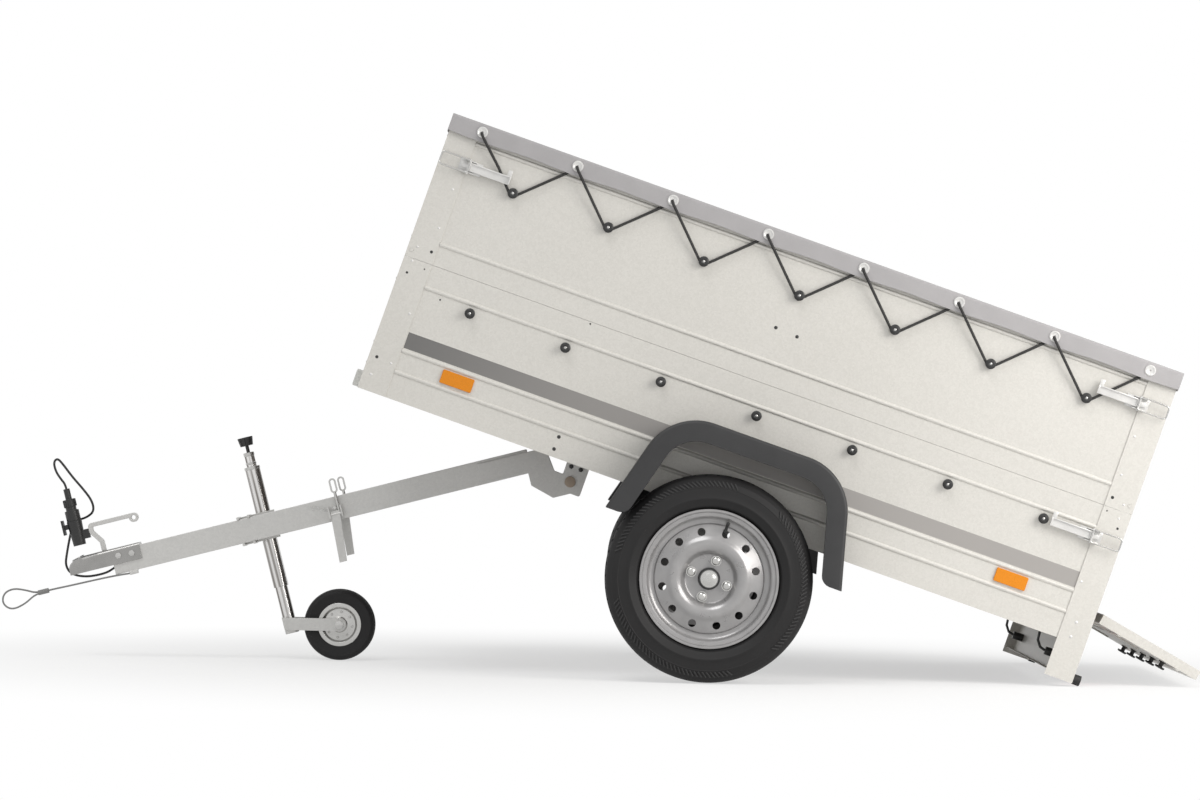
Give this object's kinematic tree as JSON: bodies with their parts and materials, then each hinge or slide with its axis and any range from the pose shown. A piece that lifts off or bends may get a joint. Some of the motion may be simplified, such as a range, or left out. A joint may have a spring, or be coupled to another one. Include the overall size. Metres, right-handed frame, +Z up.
{
  "type": "tipping box utility trailer",
  "caption": "Tipping box trailer with raised sheet-metal sides, laced flat cover, hinged drawbar, ball coupling and jockey wheel, tipped back with its lower tailgate open.",
  "frame": {"origin": "on the ground under the middle of the trailer's outline, its free cords left out", "axes": "+X to the rear, +Y to the right-hand side, +Z up; the coupling points to -X"},
  "size_m": [3.2761, 1.5526, 1.4943],
  "materials": {
    "zinc_sheet": "dull galvanised sheet with faint spangle",
    "zinc_frame": "hot-dip galvanised, matt",
    "bright_steel": "zinc plated, bright",
    "ply_floor": "dark film-faced plywood",
    "cover_cloth": "coated tarpaulin",
    "lacing_cord": "black braided elastic cord",
    "black_plastic": "moulded, satin",
    "guard_plastic": "moulded, fine grain",
    "lamp_body": "moulded, satin",
    "amber": "amber reflector",
    "red_lens": "clear red moulding",
    "marker_white": "clear white moulding",
    "buffer_rubber": "moulded rubber",
    "tyre": "black road tyre",
    "rim_silver": "silver lacquer",
    "hub_steel": "cast hub",
    "cable_black": "black cable sheath",
    "wire_rope": "stranded steel rope"
  },
  "bodies": {
    "bed": {"side_wall_left": "zinc_sheet", "side_wall_right": "zinc_sheet", "side_board_left": "zinc_sheet", "side_board_right": "zinc_sheet", "front_posts": "zinc_sheet", "rear_posts": "zinc_sheet", "floor_panel": "ply_floor", "chassis_frame": "zinc_frame", "front_wall": "zinc_sheet", "side_knobs": "black_plastic", "board_latches": "bright_steel", "latch_bails": "bright_steel", "side_reflectors": "amber", "front_markers": "marker_white", "cover_top": "cover_cloth", "cover_skirts": "cover_cloth", "cover_end_flaps": "cover_cloth", "cover_eyelets": "bright_steel", "lacing_right": "lacing_cord", "lacing_left": "lacing_cord", "mudguard_right": "guard_plastic", "mudguard_left": "guard_plastic", "axle_beam": "zinc_frame", "axle_arms": "zinc_frame", "tilt_bracket": "zinc_frame", "tilt_bolt": "bright_steel", "light_bar": "zinc_sheet", "rear_lamps": "lamp_body", "rear_lamp_lenses": "red_lens", "lamp_leads": "black_plastic", "rear_buffers": "buffer_rubber"},
    "tailgate": {"tailgate": "zinc_sheet", "tailgate_knobs": "black_plastic"},
    "rear_board": {"rear_board": "zinc_sheet"},
    "front_board": {"front_board": "zinc_sheet"},
    "drawbar": {"drawbar_beam": "zinc_frame", "drawbar_plates": "zinc_frame", "coupling_head": "zinc_frame", "coupling_handle": "zinc_frame", "plug_holder": "black_plastic", "plug": "black_plastic", "plug_cable": "cable_black", "safety_cable": "wire_rope", "safety_loop": "wire_rope", "safety_ferrule": "wire_rope", "jockey_clamp": "zinc_frame", "jockey_tube": "bright_steel", "jockey_grip": "black_plastic", "bed_catches": "zinc_frame", "catch_loops": "bright_steel"},
    "jockey_leg": {"jockey_leg": "bright_steel"},
    "jockey_fork": {"jockey_fork": "zinc_frame"},
    "jockey_wheel": {"jockey_tyre": "tyre", "jockey_rim": "rim_silver"},
    "wheel_left": {"wheel_tyre_left": "tyre", "wheel_rim_left": "rim_silver", "wheel_hub_left": "hub_steel"},
    "wheel_right": {"wheel_tyre_right": "tyre", "wheel_rim_right": "rim_silver", "wheel_hub_right": "hub_steel"}
  },
  "joints": [
    {"name": "bed_tilt", "type": "hinge", "parent": "bed", "child": "drawbar", "pos_m": [-0.1344, 0, 0.51356], "axis": [0, 1, 0], "range_deg": [-5, 33.49]},
    {"name": "tailgate_hinge", "type": "hinge", "parent": "bed", "child": "tailgate", "pos_m": [1.27665, 0, 0.16018], "axis": [0, -1, 0], "range_deg": [-79.24, 100.76]},
    {"name": "rear_board_hinge", "type": "hinge", "parent": "bed", "child": "rear_board", "pos_m": [1.35841, 0, 0.48087], "axis": [0, -1, 0], "range_deg": [-110, 0], "deforming": ["cover_end_flaps"]},
    {"name": "front_board_hinge", "type": "hinge", "parent": "bed", "child": "front_board", "pos_m": [-0.55949, 0, 1.12758], "axis": [0, 1, 0], "range_deg": [-110, 0], "deforming": ["cover_end_flaps"]},
    {"name": "jockey_slide", "type": "slide", "parent": "drawbar", "child": "jockey_leg", "axis": [-0.2564, 0, 0.9666], "range_m": [-0.08, 0.1]},
    {"name": "jockey_swivel", "type": "hinge", "parent": "jockey_leg", "child": "jockey_fork", "pos_m": [-0.96758, 0.059, 0.29252], "axis": [-0.2564, 0, 0.9666], "continuous": true},
    {"name": "jockey_wheel_spin", "type": "hinge", "parent": "jockey_fork", "child": "jockey_wheel", "pos_m": [-0.77683, 0.059, 0.1], "axis": [0, 1, 0], "continuous": true},
    {"name": "wheel_left_spin", "type": "hinge", "parent": "bed", "child": "wheel_left", "pos_m": [0.24266, -0.683, 0.2735], "axis": [0, 1, 0], "continuous": true},
    {"name": "wheel_right_spin", "type": "hinge", "parent": "bed", "child": "wheel_right", "pos_m": [0.24266, 0.683, 0.2735], "axis": [0, 1, 0], "continuous": true}
  ]
}
